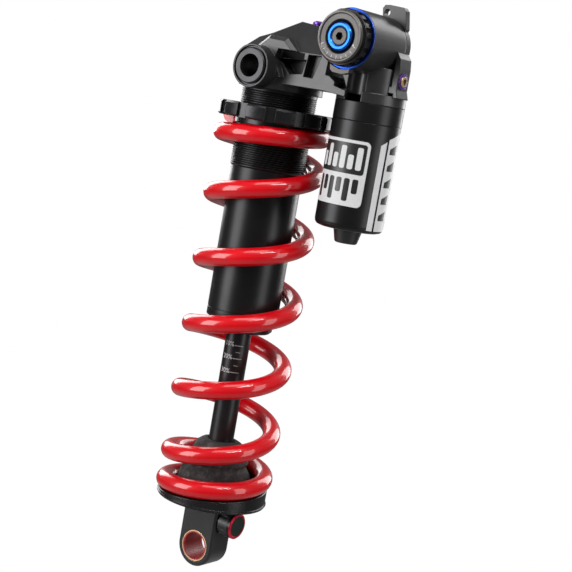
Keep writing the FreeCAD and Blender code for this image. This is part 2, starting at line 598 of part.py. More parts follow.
def lockout_lever():
    """A spool on the back of the barrel with a finger tab."""
    body = new_body("lockout_lever")
    sketch = outline(body, "XZ_Plane", [(48.7, 257), (47.3, 264.6), (48.4, 266.1), (50.8, 266.3), (57.9, 265.8),
                                        (59.4, 264.4), (60.9, 256.6), (58, 250), (48, 250)], -0.4)
    pad = body.newObject("PartDesign::Pad", "tab")
    pad.Profile = sketch
    pad.setExpression("Length", bound("lever_rear - 0.4"))
    pad.Reversed = True
    cylinder(body, "Additive", "valve_radius", "lever_rear - 0.4", ("res_x", "lever_rear", "valve_z"), "-Y")
    cylinder(body, "Subtractive", 1.55, 12, (50, 9, 262.9), "-Y")
    cylinder(body, "Subtractive", "lever_pin + 0.05", 12, ("res_x", 9, "valve_z"), "-Y")
    screw = new_body("lever_pivot_screw", "+Y", valve_axis)
    turn(screw, [(0, -1.9), ("lever_pin", -1.9), ("lever_pin", "lever_rear + 0.1"), (4.6, "lever_rear + 0.1"),
                 (4.6, "lever_rear + 1.4"), (4, "lever_rear + 2"), (0, "lever_rear + 2")])
    hexagon(screw, 1.5, size("lever_rear") + 0.3, 3)


def side_bracket():
    """Bracket on the reservoir's far side, with a screw and a coloured washer."""
    body = new_body("side_bracket")
    sketch = outline(body, "XZ_Plane", [(60.8, 246.6), (62.8, 246.5), (65, 243.4), (65.6, 239), (65.6, 229.9),
                                        (66.8, 226.3), (61.3, 225.9), (61.3, 231), (62.9, 231),
                                        (62.9, 243.2), (60.9, 246.2)], 6.2)
    pad = body.newObject("PartDesign::Pad", "bracket_plate")
    pad.Profile = sketch
    pad.Length = 9.4
    pad.Reversed = True
    cylinder(body, "Subtractive", "valve_radius + 0.05", 14, ("res_x", 4, "valve_z"), "-Y")
    cylinder(body, "Subtractive", "res_radius + 0.05", 6, ("res_x", 0, 222))
    cylinder(body, "Subtractive", "valve_radius + 0.05", 20, ("res_x", 0, "res_socket_top - 2"))
    cylinder(body, "Subtractive", 1.6, 9, (60, -2.1, 233.8), "+X")
    at = (0, -2.1, 233.8)
    tube("bracket_washer", 3.5, 1.7, 65.62, 66.05, "+X", at)
    screw = new_body("bracket_screw", "+X", at)
    turn(screw, [(0, 63.4), (1.55, 63.4), (1.55, 66.05), (2.4, 66.05), (2.4, 66.4), (2.1, 66.7), (0, 66.7)])
    hexagon(screw, 1.25, 65.2, 3)


# Reservoir --------------------------------------------------------------------------------------

def reservoir():
    groove = "res_groove_z"
    turned("reservoir_tube", [(12.6, "res_bottom"), ("res_radius - 2.6", "res_bottom"),
                              ("res_radius - 1.1", "res_bottom + 0.5"), ("res_radius - 0.3", "res_bottom + 1.4"),
                              ("res_radius", "res_bottom + 2.8"), ("res_radius", groove + " - 0.25"),
                              ("res_radius - 0.25", groove), ("res_radius", groove + " + 0.25"),
                              ("res_radius", "res_seam - 0.3"), ("res_radius - 0.3", "res_seam"),
                              ("res_bore", "res_seam"), ("res_bore", "res_bottom + 2"),
                              (12.6, "res_bottom + 2")], "+Z", reservoir_axis)
    turned("reservoir_end_cap", [(2.6, "res_bottom + 0.2"), (12.5, "res_bottom + 0.2"), (12.5, "res_bottom + 2.1"),
                                 ("res_bore - 0.05", "res_bottom + 2.1"), ("res_bore - 0.05", "res_bottom + 4"),
                                 (12.7, "res_bottom + 4"), (12.7, "res_bottom + 6"),
                                 ("res_bore - 0.05", "res_bottom + 6"), ("res_bore - 0.05", "res_bottom + 8"),
                                 (2.6, "res_bottom + 8")], "+Z", reservoir_axis)
    tube("end_cap_o_ring", "res_bore - 0.03", 12.7, "res_bottom + 4.1", "res_bottom + 5.9", "+Z", reservoir_axis)
    tube("fill_valve", 2.55, 0.9, "res_bottom - 4.4", "res_bottom + 9", "+Z", reservoir_axis)
    cap = new_body("fill_valve_cap", "+Z", reservoir_axis)
    turn(cap, [(0, "res_bottom - 6.5"), (4.6, "res_bottom - 6.5"), (5.2, "res_bottom - 6"),
               (6.5, "res_bottom - 0.6"), (6.3, "res_bottom - 0.1"), (2.75, "res_bottom - 0.1"),
               (2.75, "res_bottom - 4.8"), (0, "res_bottom - 4.8")])
    rib = primitive(cap, "SubtractiveBox", {"Length": 3, "Width": 0.7, "Height": 8},
                    (5.35, -0.35, "res_bottom - 7"), extra=Rotation(Vector(0, 1, 0), 12))
    around(cap, rib, 20)


def floating_piston():
    turned("floating_piston", [(0, 200), ("res_bore - 0.1", 200), ("res_bore - 0.1", 202), (12.5, 202), (12.5, 205),
                               ("res_bore - 0.1", 205), ("res_bore - 0.1", 207), (13, 207), (13, 209),
                               ("res_bore - 0.1", 209), ("res_bore - 0.1", 212), (9, 212), (9, 204), (0, 204)],
           "+Z", reservoir_axis)
    tube("floating_piston_seal", "res_bore - 0.04", 12.5, 202.1, 204.9, "+Z", reservoir_axis)
    tube("floating_piston_band", "res_bore - 0.04", 13, 207.1, 208.9, "+Z", reservoir_axis)


builders = (lower_eye, lower_eye_parts, rebound_knob, detent_ball, shaft, piston, lower_spring_plate, bump_stop,
            coil_spring, body_tube, seal_head, preload_collar, damper_head, head_fittings, front_dial,
            barrel_inside, index_plate, lockout_lever, side_bracket, reservoir, floating_piston)
for builder in builders:
    builder()
shim_stack("rebound_shims", size("shaft_shoulder"), [7.5, 8.5, 9.5, 10.5, 11.5, 12], size("stem_radius"))
shim_stack("compression_shims", size("piston_bottom") + size("piston_height"),
           [12, 11.5, 10.5, 9.5, 8.5, 7.5], size("stem_radius"))
doc.recompute()

broken = [item.Label for item in doc.Objects if "Invalid" in item.State or "Error" in item.State]
broken += [item.Label for item in nodes if item.Shape.isNull() or not item.Shape.isValid()]
if broken:
    raise RuntimeError("not built: " + ", ".join(broken))
os.makedirs("parts", exist_ok=True)
for item in nodes:
    item.Shape.exportStep("parts/%s.step" % item.Label)
print(len(nodes), "nodes")
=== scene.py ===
import math
import bpy
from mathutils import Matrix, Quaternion, Vector


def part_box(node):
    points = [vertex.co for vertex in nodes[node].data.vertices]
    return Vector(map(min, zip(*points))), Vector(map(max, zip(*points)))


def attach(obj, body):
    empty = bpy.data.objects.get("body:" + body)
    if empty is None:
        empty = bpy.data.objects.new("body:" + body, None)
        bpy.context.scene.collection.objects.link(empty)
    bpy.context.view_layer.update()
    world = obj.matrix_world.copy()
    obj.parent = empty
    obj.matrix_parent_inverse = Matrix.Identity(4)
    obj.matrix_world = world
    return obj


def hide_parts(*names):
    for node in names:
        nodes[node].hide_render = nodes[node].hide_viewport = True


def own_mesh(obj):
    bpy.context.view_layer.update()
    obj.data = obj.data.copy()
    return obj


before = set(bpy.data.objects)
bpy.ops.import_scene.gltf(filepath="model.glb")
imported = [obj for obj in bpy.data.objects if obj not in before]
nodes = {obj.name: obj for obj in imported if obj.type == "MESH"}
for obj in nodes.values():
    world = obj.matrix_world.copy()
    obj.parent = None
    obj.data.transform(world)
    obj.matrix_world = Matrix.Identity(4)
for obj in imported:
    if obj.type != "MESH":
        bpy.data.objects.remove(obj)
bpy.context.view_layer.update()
mm = 0.001

# where things are, read from the frame
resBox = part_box("reservoir_tube")
resX = (resBox[0].x + resBox[1].x) / 2
resRadius = (resBox[1].x - resBox[0].x) / 2
resBottom = resBox[0].z
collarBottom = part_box("preload_collar")[0].z
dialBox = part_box("low_speed_dial")
valveX = (dialBox[0].x + dialBox[1].x) / 2
valveZ = (dialBox[0].z + dialBox[1].z) / 2
dialFace = dialBox[0].y
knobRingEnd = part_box("rebound_knob_ring")[1].x
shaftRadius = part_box("damper_shaft")[1].x
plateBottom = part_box("lower_spring_plate")[0].z


def deselectAll():
    if bpy.context.object and bpy.context.object.mode != "OBJECT":
        bpy.ops.object.mode_set(mode="OBJECT")
    bpy.ops.object.select_all(action="DESELECT")


def pick(obj):
    deselectAll()
    obj.select_set(True)
    bpy.context.view_layer.objects.active = obj


def applyPlace(obj):
    pick(obj)
    bpy.ops.object.transform_apply(location=True, rotation=True, scale=True)


def applyModifier(obj, kind, **values):
    pick(obj)
    modifier = obj.modifiers.new(kind.lower(), kind)
    for key, value in values.items():
        setattr(modifier, key, value)
    bpy.ops.object.modifier_apply(modifier=modifier.name)


def outwardFaces(obj):
    pick(obj)
    bpy.ops.object.mode_set(mode="EDIT")
    bpy.ops.mesh.select_all(action="SELECT")
    bpy.ops.mesh.remove_doubles(threshold=1e-6)
    bpy.ops.mesh.normals_make_consistent(inside=False)
    bpy.ops.object.mode_set(mode="OBJECT")


def smooth(obj, degrees):
    pick(obj)
    bpy.ops.object.shade_smooth_by_angle(angle=math.radians(degrees))


def give(obj, material):
    obj.data.materials.clear()
    obj.data.materials.append(material)


def joined(name, parts):
    pick(parts[0])
    for part in parts:
        part.select_set(True)
    bpy.ops.object.join()
    whole = bpy.context.object
    whole.name = name
    return whole


# nodes that the finishes are made of

def newMaterial(name, color, metal=0.0, rough=0.4, coat=0.0, coatRough=0.05, specular=0.5):
    material = bpy.data.materials.new(name)
    material.use_nodes = True
    shader = material.node_tree.nodes["Principled BSDF"]
    shader.inputs["Base Color"].default_value = (*color, 1)
    shader.inputs["Metallic"].default_value = metal
    shader.inputs["Roughness"].default_value = rough
    shader.inputs["Coat Weight"].default_value = coat
    shader.inputs["Coat Roughness"].default_value = coatRough
    shader.inputs["Specular IOR Level"].default_value = specular
    return material, material.node_tree, shader


def objectCoords(tree, scale=(1, 1, 1)):
    coords = tree.nodes.new("ShaderNodeTexCoord")
    mapping = tree.nodes.new("ShaderNodeMapping")
    mapping.inputs["Scale"].default_value = scale
    tree.links.new(coords.outputs["Object"], mapping.inputs["Vector"])
    return mapping.outputs["Vector"]


def noise(tree, vector, scale=1, detail=4, rough=0.55):
    node = tree.nodes.new("ShaderNodeTexNoise")
    node.inputs["Scale"].default_value = scale
    node.inputs["Detail"].default_value = detail
    node.inputs["Roughness"].default_value = rough
    tree.links.new(vector, node.inputs["Vector"])
    return node.outputs["Fac"]


def spread(tree, value, low, high, fromLow=0.3, fromHigh=0.7):
    node = tree.nodes.new("ShaderNodeMapRange")
    node.inputs["From Min"].default_value = fromLow
    node.inputs["From Max"].default_value = fromHigh
    node.inputs["To Min"].default_value = low
    node.inputs["To Max"].default_value = high
    tree.links.new(value, node.inputs["Value"])
    return node.outputs["Result"]


def ramp(tree, value, stops):
    node = tree.nodes.new("ShaderNodeValToRGB")
    elements = node.color_ramp.elements
    while len(elements) < len(stops):
        elements.new(0.5)
    for element, (place, color) in zip(elements, stops):
        element.position = place
        element.color = (*color, 1)
    tree.links.new(value, node.inputs["Fac"])
    return node.outputs["Color"]


def bump(tree, height, strength, deep, normal=None):
    node = tree.nodes.new("ShaderNodeBump")
    node.inputs["Strength"].default_value = strength
    node.inputs["Distance"].default_value = deep
    tree.links.new(height, node.inputs["Height"])
    if normal is not None:
        tree.links.new(normal, node.inputs["Normal"])
    return node.outputs["Normal"]


def softEdges(tree, radius):
    node = tree.nodes.new("ShaderNodeBevel")
    node.samples = 8
    node.inputs["Radius"].default_value = radius
    return node.outputs["Normal"]


def splitAt(tree, axis, place, below, above, blend=0.1 * mm):
    # one colour up to a place along an axis, another past it
    coords = tree.nodes.new("ShaderNodeTexCoord")
    parts = tree.nodes.new("ShaderNodeSeparateXYZ")
    tree.links.new(coords.outputs["Object"], parts.inputs["Vector"])
    share = spread(tree, parts.outputs[axis], 0, 1, place - blend, place + blend)
    mix = tree.nodes.new("ShaderNodeMix")
    mix.data_type = "RGBA"
    tree.links.new(share, mix.inputs["Factor"])
    tree.links.new(below, mix.inputs[6])      # the two colour sockets, A and B
    tree.links.new(above, mix.inputs[7])
    return mix.outputs[2]


def shade(color, factor):
    return tuple(min(1, c * factor) for c in color)


def shades(color, darker, lighter, low=0.3, high=0.7):
    return [(low, shade(color, darker)), (high, shade(color, lighter))]


def setColor(tree, shader, value, stops):
    tree.links.new(ramp(tree, value, stops), shader.inputs["Base Color"])


def setRough(tree, shader, value, low, high):
    tree.links.new(spread(tree, value, low, high), shader.inputs["Roughness"])


def setRelief(tree, shader, height, strength, deep, edge=None):
    under = softEdges(tree, edge) if edge else None
    tree.links.new(bump(tree, height, strength, deep, under), shader.inputs["Normal"])


# finishes, grain sizes in waves to the metre

finish = {
    "castGrain": 2600, "castDeep": 0.03 * mm,
    "anodGrain": 3800, "turnRings": 5200, "groundLines": 4000, "shaftLines": 9000,
    "mouldGrain": 1500, "inkSpeck": 2200, "foamCells": 900, "coatWaves": 260,
}


def anodised(name, color, rough, metal):
    material, tree, shader = newMaterial(name, color, metal, rough)
    place = objectCoords(tree)
    setColor(tree, shader, noise(tree, place, scale=60, detail=3), shades(color, 0.88, 1.12))
    setRough(tree, shader, noise(tree, place, scale=240), rough - 0.05, rough + 0.06)
    grain = noise(tree, place, finish["anodGrain"], detail=2)
    setRelief(tree, shader, grain, strength=0.25, deep=0.02 * mm, edge=0.25 * mm)
    return material


def twoTone(name, axis, place, below, above, metal, rough):
    # one turned part with its face in another finish than its side
    material, tree, shader = newMaterial(name, below, metal, rough)
    where = objectCoords(tree)
    drift = noise(tree, where, scale=70, detail=3)
    tones = [ramp(tree, drift, shades(color, 0.85, 1.15)) for color in (below, above)]
    tree.links.new(splitAt(tree, axis, place, *tones), shader.inputs["Base Color"])
    grain = noise(tree, where, finish["anodGrain"], detail=2)
    setRough(tree, shader, grain, rough - 0.06, rough + 0.06)
    setRelief(tree, shader, grain, strength=0.2, deep=0.02 * mm, edge=0.2 * mm)
    return material


def castAlloy(name, color, rough):
    material, tree, shader = newMaterial(name, color, 0.6, rough)
    place = objectCoords(tree)
    setColor(tree, shader, noise(tree, place, scale=45), shades(color, 0.85, 1.2))
    grain = noise(tree, place, finish["castGrain"], detail=3, rough=0.6)
    setRough(tree, shader, grain, rough - 0.06, rough + 0.08)
    setRelief(tree, shader, grain, strength=0.35, deep=finish["castDeep"], edge=0.6 * mm)
    return material


def turnedAlloy(name, color, rough, metal=0.5, axis="Z"):
    material, tree, shader = newMaterial(name, color, metal, rough)
    stretch = [finish["turnRings"] if letter == axis else 1 for letter in "XYZ"]
    rings = noise(tree, objectCoords(tree, stretch), detail=2)
    setColor(tree, shader, noise(tree, objectCoords(tree), scale=50), shades(color, 0.85, 1.15))
    setRough(tree, shader, rings, rough - 0.03, rough + 0.05)
    setRelief(tree, shader, rings, strength=0.12, deep=0.01 * mm, edge=0.2 * mm)
    return material


def powderCoat(name, color):
    material, tree, shader = newMaterial(name, color, rough=0.42, coat=0.75, coatRough=0.035, specular=0.2)
    place = objectCoords(tree)
    setColor(tree, shader, noise(tree, place, scale=35, detail=3), shades(color, 0.9, 1.08))
    setRough(tree, shader, noise(tree, place, scale=700, detail=2), 0.3, 0.4)
    peel = noise(tree, place, finish["coatWaves"], detail=2, rough=0.4)
    wave = bump(tree, peel, strength=0.16, deep=0.12 * mm)
    tree.links.new(wave, shader.inputs["Normal"])
    tree.links.new(wave, shader.inputs["Coat Normal"])
    return material


def hardShaft(name, color):
    material, tree, shader = newMaterial(name, color, 0.4, 0.34)
    lines = noise(tree, objectCoords(tree, (300, 300, finish["shaftLines"])), detail=2)
    setColor(tree, shader, noise(tree, objectCoords(tree), scale=90, detail=3), shades(color, 0.8, 1.3))
    setRough(tree, shader, lines, 0.3, 0.42)
    setRelief(tree, shader, lines, strength=0.05, deep=0.01 * mm)
    return material


def foam(name, color):
    material, tree, shader = newMaterial(name, color, rough=0.85, specular=0.25)
    place = objectCoords(tree)
    cells = tree.nodes.new("ShaderNodeTexVoronoi")
    cells.inputs["Scale"].default_value = finish["foamCells"]
    tree.links.new(place, cells.inputs["Vector"])
    mottled = noise(tree, place, scale=330, detail=5, rough=0.7)
    setColor(tree, shader, mottled, [(0.32, shade(color, 0.55)), (0.5, color), (0.68, shade(color, 2.3))])
    setRough(tree, shader, mottled, 0.7, 0.95)
    pores = bump(tree, cells.outputs["Distance"], strength=0.5, deep=0.2 * mm)
    tree.links.new(bump(tree, mottled, 0.6, 0.3 * mm, pores), shader.inputs["Normal"])
    return material


def moulded(name, color, rough):
    material, tree, shader = newMaterial(name, color, rough=rough)
    place = objectCoords(tree)
    setColor(tree, shader, noise(tree, place, scale=80, detail=3), shades(color, 0.85, 1.2))
    grain = noise(tree, place, finish["mouldGrain"], detail=3)
    setRough(tree, shader, grain, rough - 0.08, rough + 0.08)
    setRelief(tree, shader, grain, strength=0.2, deep=0.04 * mm, edge=0.2 * mm)
    return material


def groundMetal(name, color, rough):
    material, tree, shader = newMaterial(name, color, 1.0, rough)
    lines = noise(tree, objectCoords(tree, (finish["groundLines"], 60, 60)), detail=3)
    setColor(tree, shader, lines, shades(color, 0.8, 1.1, low=0.25, high=0.75))
    setRough(tree, shader, lines, rough - 0.07, rough + 0.1)
    setRelief(tree, shader, lines, strength=0.1, deep=0.01 * mm, edge=0.15 * mm)
    return material


def printedInk(name, color, rough=0.5):
    material, tree, shader = newMaterial(name, color, rough=rough)
    speck = noise(tree, objectCoords(tree), finish["inkSpeck"], detail=3, rough=0.7)
    setColor(tree, shader, speck, [(0.25, shade(color, 0.82)), (0.6, color)])
    setRough(tree, shader, speck, rough - 0.1, rough + 0.1)
    return material


dialColor = (0.062, 0.058, 0.055)
gripBlack = (0.012, 0.012, 0.012)
black = {
    "cast": castAlloy("castBlack", (0.04, 0.04, 0.041), 0.33),
    "tube": turnedAlloy("tubeBlack", (0.02, 0.02, 0.021), 0.33, 0.75),
    "collar": anodised("collarBlack", (0.028, 0.028, 0.03), 0.3, 0.75),
    "valve": turnedAlloy("barrelBlack", (0.02, 0.02, 0.021), 0.34, axis="Y"),
    "plate": anodised("plateBlack", (0.012, 0.012, 0.013), 0.27, 0.3),
    "plastic": moulded("mouldedBlack", gripBlack, 0.42),
}
coilRed = powderCoat("coilRed", (0.56, 0.0, 0.005))
shaftBlack = hardShaft("shaftHardCoat", (0.012, 0.012, 0.013))
foamGrey = foam("stopFoam", (0.04, 0.037, 0.037))
sealRubber = moulded("sealRubber", (0.02, 0.02, 0.02), 0.6)
steel = groundMetal("groundSteel", (0.52, 0.52, 0.53), 0.28)
brass = groundMetal("turnedBrass", (0.72, 0.46, 0.27), 0.4)
gold = groundMetal("goldScrew", (0.5, 0.38, 0.2), 0.34)
linerRed = moulded("linerRed", (0.34, 0.028, 0.028), 0.45)
polymer = moulded("bearingPolymer", (0.28, 0.22, 0.15), 0.5)
purple = anodised("purpleAnodised", (0.16, 0.06, 0.42), 0.28, 0.9)
blueRim = anodised("blueRim", (0.008, 0.045, 0.3), 0.3, 0.9)
blue = anodised("blueAnodised", (0.011, 0.1, 0.48), 0.28, 0.85)
knobDisc = anodised("discDark", (0.02, 0.032, 0.026), 0.35, 0.5)
dialGrey = turnedAlloy("dialGrey", dialColor, 0.42, 0.6, axis="Y")
dialTwoTone = twoTone("dialFaceAndGrip", "Y", dialFace + 0.9 * mm, dialColor, gripBlack, 0.55, 0.38)
ringTwoTone = twoTone("knobRimRed", "X", knobRingEnd - 0.55 * mm, gripBlack, (0.75, 0.012, 0.05), 0.6, 0.3)
whiteInk = printedInk("whiteInk", (0.6, 0.6, 0.61))
scaleInk = printedInk("scaleInk", (0.4, 0.4, 0.41))
blackInk = printedInk("blackInk", gripBlack, 0.4)

nodeFinish = {
    "damper_head": black["cast"], "side_bracket": black["cast"], "lower_eye": black["cast"],
    "body_tube": black["tube"], "seal_head": black["tube"], "reservoir_tube": black["tube"],
    "reservoir_end_cap": black["tube"], "lockout_lever": black["valve"],
    "preload_collar": black["collar"], "spring_centring_ring": black["collar"],
    "upper_eye_sleeve": black["collar"], "upper_eye_bush": black["collar"],
    "lower_spring_plate": black["plate"], "fill_valve_cap": black["plastic"], "rebound_knob": black["plastic"],
    "rebound_knob_ring": ringTwoTone, "rebound_knob_disc": knobDisc, "low_speed_dial": dialTwoTone,
    "high_speed_disc": dialGrey, "index_plate": dialGrey, "high_speed_ring": blue, "barrel_blue_ring": blueRim,
    "bleed_screw": purple, "bracket_washer": purple, "bracket_screw": gold,
    "damper_shaft": shaftBlack, "bump_stop": foamGrey, "coil_spring": coilRed,
    "lower_eye_bush": brass, "fill_valve": brass, "base_valve_seat": brass, "lower_eye_liner": linerRed,
    "shaft_bush": polymer, "piston_band": polymer, "floating_piston_band": polymer,
    "shaft_wiper": sealRubber, "shaft_seal": sealRubber, "seal_head_o_ring": sealRubber,
    "end_cap_o_ring": sealRubber, "top_out_bumper": sealRubber, "floating_piston_seal": sealRubber,
}
for name, node in nodes.items():
    give(node, nodeFinish.get(name, steel))
print("materials on", len(nodes), "nodes")

# coil spring, angles in degrees after the wire's start

coil = {
    "radius": 23.6 * mm, "wire": 4.23 * mm, "startAngle": -200, "startZ": 28.75 * mm,
    "tipRise": 0.01 * mm,                                       # climb in one degree at the very tip
    "footPitch": 14.45 * mm, "openPitch": 31.54 * mm, "endPitch": 9.25 * mm,
    "footStarts": 80, "footEnds": 400, "opens": 460, "closes": 2112, "closed": 2222,
    "lean": 0.9 * mm, "leanTowards": -57,
    "leanStarts": 330, "leanFull": 530, "leanFades": 2000, "leanEnds": 2250,
    "seated": 330, "tipSlack": 20,
    "overrun": 0.6 * mm, "collarGap": 0.05 * mm, "groundEdge": 0.35 * mm,
    "stepDegrees": 6, "sides": 32, "smoothAngle": 40,
}


def coilPitch(angle):
    foot, free, end = (coil[key] / 360 for key in ("footPitch", "openPitch", "endPitch"))
    knots = [(0, coil["tipRise"]), (coil["footStarts"], foot), (coil["footEnds"], foot),
             (coil["opens"], free), (coil["closes"], free), (coil["closed"], end)]
    for (a0, s0), (a1, s1) in zip(knots, knots[1:]):
        if a0 <= angle < a1:
            return s0 + (s1 - s0) * (angle - a0) / (a1 - a0)
    return end


def coilLean(angle):
    # the open turns sit a little off square, the end turns don't
    rise = (angle - coil["leanStarts"]) / (coil["leanFull"] - coil["leanStarts"])
    fall = (coil["leanEnds"] - angle) / (coil["leanEnds"] - coil["leanFades"])
    share = min(1, max(0, rise)) * min(1, max(0, fall))
    return coil["lean"] * share * math.cos(math.radians(coil["startAngle"] + angle - coil["leanTowards"]))


def coilHeights(limit):
    angle, height, path = 0.0, coil["startZ"], []
    while height < limit:
        path.append((coil["startAngle"] + angle, height - coilLean(angle)))
        height += coilPitch(angle) * coil["stepDegrees"]
        angle += coil["stepDegrees"]
    return path


def makeCoilSpring():
    path = coilHeights(collarBottom + coil["overrun"])
    curve = bpy.data.curves.new("coilPath", "CURVE")
    curve.dimensions = "3D"
    spline = curve.splines.new("POLY")
    spline.points.add(len(path) - 1)
    for point, (angle, height) in zip(spline.points, path):
        turn = math.radians(angle)
        point.co = (coil["radius"] * math.cos(turn), coil["radius"] * math.sin(turn), height, 1)
    curve.bevel_depth = coil["wire"]
    curve.bevel_resolution = coil["sides"] // 2 - 1
    curve.use_fill_caps = True
    curve.twist_mode = "Z_UP"
    spring = bpy.data.objects.new("coilSpring", curve)
    bpy.context.scene.collection.objects.link(spring)
    pick(spring)
    bpy.ops.object.convert(target="MESH")
    bpy.ops.object.mode_set(mode="EDIT")
    bpy.ops.mesh.select_all(action="SELECT")
    bpy.ops.mesh.remove_doubles(threshold=1e-6)
    bpy.ops.mesh.select_all(action="SELECT")
    # the last turn is ground flat where the collar bears on it
    bpy.ops.mesh.bisect(plane_co=(0, 0, collarBottom - coil["collarGap"]), plane_no=(0, 0, 1),
                        use_fill=True, clear_outer=True)
    bpy.ops.object.mode_set(mode="OBJECT")
    outwardFaces(spring)
    applyModifier(spring, "BEVEL", width=coil["groundEdge"], segments=2, limit_method="ANGLE",
                  angle_limit=math.radians(50))
    smooth(spring, coil["smoothAngle"])
    give(spring, coilRed)
    return spring, path


def alongWire(place, path):
    # degrees along the wire of the turn that passes nearest to a point
    step, last = coil["stepDegrees"], len(path) - 1
    bearing = (math.degrees(math.atan2(place.y, place.x)) - coil["startAngle"]) % 360
    turns = [bearing + 360 * turn for turn in range(-1, last * step // 360 + 1)]
    steps = {angle: min(last, max(0, int(angle / step))) for angle in turns if angle > -coil["tipSlack"]}
    return min(steps, key=lambda angle: abs(path[steps[angle]][1] - place.z))


def keepPart(piece, wanted):
    # delete the faces that aren't wanted and close the cut
    pick(piece)
    bpy.ops.object.mode_set(mode="EDIT")
    bpy.ops.mesh.select_mode(type="FACE")
    bpy.ops.mesh.select_all(action="DESELECT")
    bpy.ops.object.mode_set(mode="OBJECT")
    for face in piece.data.polygons:
        face.select = not wanted(face.center)
    bpy.ops.object.mode_set(mode="EDIT")
    bpy.ops.mesh.delete(type="FACE")
    bpy.ops.mesh.select_mode(type="EDGE")
    bpy.ops.mesh.select_non_manifold()
    bpy.ops.mesh.edge_face_add()
    bpy.ops.object.mode_set(mode="OBJECT")
    outwardFaces(piece)
    smooth(piece, coil["smoothAngle"])


def seatCoilSpring(spring, path):
    # the seated turn stays rigid on the plate, the open turns are a separate piece that goes with the damper
    pick(spring)
    bpy.ops.object.duplicate()
    foot = bpy.context.object
    foot.name = "coilFoot"
    keepPart(foot, lambda place: alongWire(place, path) < coil["seated"])
    keepPart(spring, lambda place: alongWire(place, path) >= coil["seated"])
    for piece, body in ((foot, "shaft"), (spring, "damper")):
        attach(piece, body)
    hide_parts("coil_spring")
    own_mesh(spring)


seatCoilSpring(*makeCoilSpring())
print("coil spring done")

# lower spring plate, a turned disc with a ramp that the first turn lies on

springPlate = {
    "disc": [(8.2, 0.4), (14, 0), (25, 0), (26.6, 0.9), (26.6, 1.3), (26.1, 1.5), (25, 0.6), (22.2, 0.6),
             (19.8, 2.1), (19, 3.3), (8.2, 3.3)],               # radius and height above its underside, mm
    "rampInner": 19.2 * mm, "rampOuter": 26.1 * mm, "rampDegrees": 332, "rampBase": 0.1 * mm,
    "rampCrown": 20 * mm,                                       # where its top starts before it is lowered
    "rampLeast": 0.6 * mm, "openHeight": 0.36 * mm,             # its top at the thin end, and past the end
    "seatGap": 0.3 * mm, "softEdge": 0.3 * mm, "sides": 180, "smoothAngle": 30,
}


def ringStack(name, rings):
    # one circle extruded from ring to ring, then bridged back to its start
    deselectAll()
    radius, height = rings[0]
    bpy.ops.mesh.primitive_circle_add(vertices=springPlate["sides"], radius=radius, location=(0, 0, height))
    body = bpy.context.object
    body.name = name
    applyPlace(body)
    bpy.ops.object.mode_set(mode="EDIT")
    bpy.ops.mesh.select_all(action="SELECT")
    for nextRadius, nextHeight in rings[1:]:
        bpy.ops.mesh.extrude_region_move(TRANSFORM_OT_translate={"value": (0, 0, nextHeight - height)})
        grow = nextRadius / radius
        bpy.ops.transform.resize(value=(grow, grow, 1), center_override=(0, 0, 0))
        radius, height = nextRadius, nextHeight
    bpy.ops.mesh.select_all(action="DESELECT")
    bpy.ops.mesh.select_mode(type="EDGE")
    bpy.ops.mesh.select_non_manifold()
    bpy.ops.mesh.bridge_edge_loops()
    bpy.ops.object.mode_set(mode="OBJECT")
    return body


def seatHeight(angle, path):
    # the ramp's top under the wire
    place = angle / coil["stepDegrees"]
    before = int(place)
    low, high = path[before][1], path[before + 1][1]
    return low + (high - low) * (place - before) - coil["wire"] - springPlate["seatGap"]


def lowerRamp(seat, base, crown):
    path = coilHeights(collarBottom)
    for vertex in seat.data.vertices:
        drop = crown - vertex.co.z
        if drop < 2 * springPlate["softEdge"]:
            angle = (math.degrees(math.atan2(vertex.co.y, vertex.co.x)) - coil["startAngle"]) % 360
            if angle <= springPlate["rampDegrees"]:
                vertex.co.z = max(seatHeight(angle, path), base + springPlate["rampLeast"]) - drop
            else:
                vertex.co.z = base + springPlate["openHeight"] - drop


def makeSpringPlate():
    disc = ringStack("plateDisc", [(radius * mm, plateBottom + height * mm)
                                   for radius, height in springPlate["disc"]])
    inner, outer, soft = springPlate["rampInner"], springPlate["rampOuter"], springPlate["softEdge"]
    base, crown = plateBottom + springPlate["rampBase"], plateBottom + springPlate["rampCrown"]
    seat = ringStack("plateRamp", [(outer, base), (outer, crown - soft), (outer - soft, crown),
                                   (inner + soft, crown), (inner, crown - soft), (inner, base)])
    lowerRamp(seat, base, crown)
    plate = joined("springPlate", [disc, seat])
    outwardFaces(plate)
    smooth(plate, springPlate["smoothAngle"])
    give(plate, black["plate"])
    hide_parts("lower_spring_plate")
    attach(plate, "shaft")


makeSpringPlate()
print("spring plate done")

# marks printed round a cylinder

ink = {"thick": 0.05 * mm, "letterThick": 0.03 * mm, "lift": 0.05 * mm, "cutDegrees": 4, "cornerSteps": 6}


def wrapPoint(along, z, angle, radius, centre=0, lift=ink["lift"]):
    # a point along the flat print, laid round an upright cylinder from a starting angle
    turn, reach = angle + along / radius, radius + lift
    return centre + reach * math.cos(turn), reach * math.sin(turn), z


